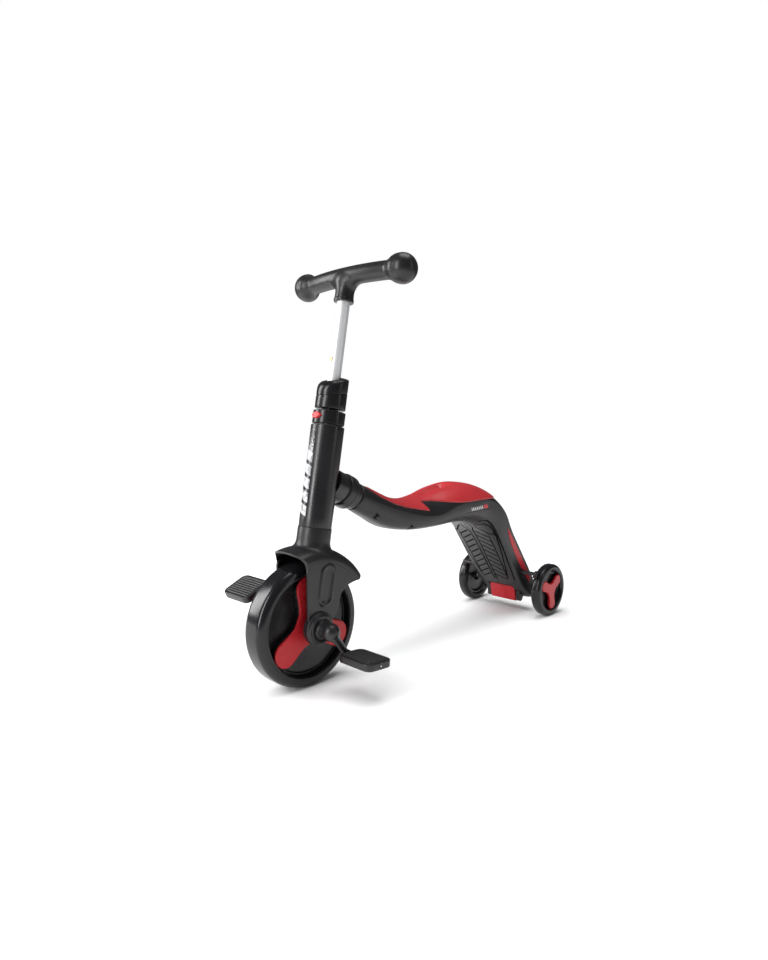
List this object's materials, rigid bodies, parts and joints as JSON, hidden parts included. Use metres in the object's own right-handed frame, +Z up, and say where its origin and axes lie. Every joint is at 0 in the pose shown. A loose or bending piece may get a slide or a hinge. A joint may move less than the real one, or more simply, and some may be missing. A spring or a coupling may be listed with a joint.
{
  "type": "three-in-one kids scooter",
  "caption": "Child's ride-on that is a pedal tricycle, balance bike or kick scooter: the S-shaped body with saddle turns half round on its neck to lie as a foot deck.",
  "frame": {"origin": "on the floor, under the middle of the object's bounding box", "axes": "+Z up, +X the rider's left, -Y forwards"},
  "size_m": [0.294, 0.7787, 0.6946],
  "materials": {
    "black": "satin",
    "tyre": "smooth semi-gloss",
    "rubber": "matte",
    "red": "semi-gloss",
    "steel": "bright",
    "brass": "satin",
    "nylon": "matte",
    "silver": "satin"
  },
  "bodies": {
    "rear_body": {"body_shell_left": "black", "body_shell_right": "black", "saddle": "red", "label_plate_left": "silver", "label_plate_right": "silver", "side_trim_left": "red", "side_trim_right": "red", "shell_screw_1": "steel", "shell_screw_2": "steel", "shell_screw_3": "steel", "rear_axle": "steel", "brake_pin": "steel", "brake_spring": "steel"},
    "lock_ring": {"neck_lock_ring": "black"},
    "head": {"head_sleeve": "black", "lower_bush": "nylon", "upper_bush": "nylon", "neck_tube": "steel", "neck_flange": "steel"},
    "fork": {"fork_mudguard": "black", "front_bush_left": "nylon", "front_bush_right": "nylon", "steerer_tube": "steel", "button_ring": "black", "button_spring": "steel", "stem_collar": "black"},
    "button": {"height_button": "red"},
    "bars": {"stem_tube": "steel", "stem_screw": "brass", "handlebar": "black"},
    "front_wheel": {"front_tyre": "tyre", "front_rim": "black", "front_spoke_left": "red", "front_spoke_right": "red", "front_axle": "steel", "crank_left": "black", "crank_right": "black", "pedal_spindle_left": "steel", "pedal_spindle_right": "steel"},
    "pedal_left": {"pedal_body_left": "black", "pedal_tread_top_left": "rubber", "pedal_tread_under_left": "rubber"},
    "pedal_right": {"pedal_body_right": "black", "pedal_tread_top_right": "rubber", "pedal_tread_under_right": "rubber"},
    "rear_wheel_left": {"rear_tyre_left": "tyre", "rear_rim_left": "black", "rear_spoke_left": "red"},
    "rear_wheel_right": {"rear_tyre_right": "tyre", "rear_rim_right": "black", "rear_spoke_right": "red"},
    "brake": {"brake_pedal": "red", "brake_lever": "black"}
  },
  "joints": [
    {"name": "body_flip", "type": "hinge", "parent": "rear_body", "child": "head", "pos_m": [0, -0.2444, 0.3384], "axis": [0, 0.8988, -0.4384], "range_deg": [0, 180]},
    {"name": "lock_ring_turn", "type": "hinge", "parent": "rear_body", "child": "lock_ring", "pos_m": [0, -0.2444, 0.3384], "axis": [0, 0.8988, -0.4384], "range_deg": [0, 30]},
    {"name": "steering", "type": "hinge", "parent": "head", "child": "fork", "pos_m": [0, -0.2869, 0.1025], "axis": [0, 0.1771, 0.9842], "range_deg": [-45, 45]},
    {"name": "bar_height", "type": "slide", "parent": "fork", "child": "bars", "axis": [0, 0.1771, 0.9842], "range_m": [-0.096, 0]},
    {"name": "button_press", "type": "slide", "parent": "fork", "child": "button", "axis": [0, 0.9842, -0.1771], "range_m": [0, 0.004], "stiffness_N_per_m": 900, "springref_m": -0.001, "deforming": ["button_spring"]},
    {"name": "front_wheel_spin", "type": "hinge", "parent": "fork", "child": "front_wheel", "pos_m": [0, -0.2869, 0.1025], "axis": [1, 0, 0], "continuous": true},
    {"name": "pedal_left_spin", "type": "hinge", "parent": "front_wheel", "child": "pedal_left", "pos_m": [0.112, -0.255, 0.06017], "axis": [1, 0, 0], "continuous": true},
    {"name": "pedal_right_spin", "type": "hinge", "parent": "front_wheel", "child": "pedal_right", "pos_m": [-0.112, -0.3188, 0.14483], "axis": [1, 0, 0], "continuous": true},
    {"name": "rear_wheel_left_spin", "type": "hinge", "parent": "rear_body", "child": "rear_wheel_left", "pos_m": [0.09875, 0.3319, 0.0574], "axis": [1, 0, 0], "continuous": true},
    {"name": "rear_wheel_right_spin", "type": "hinge", "parent": "rear_body", "child": "rear_wheel_right", "pos_m": [-0.09875, 0.3319, 0.0574], "axis": [1, 0, 0], "continuous": true},
    {"name": "brake_press", "type": "hinge", "parent": "rear_body", "child": "brake", "pos_m": [0, 0.30511, 0.09899], "axis": [1, 0, 0], "range_deg": [0, 4], "stiffness_Nm_per_rad": 3, "springref_deg": -2.86, "deforming": ["brake_spring"]}
  ]
}
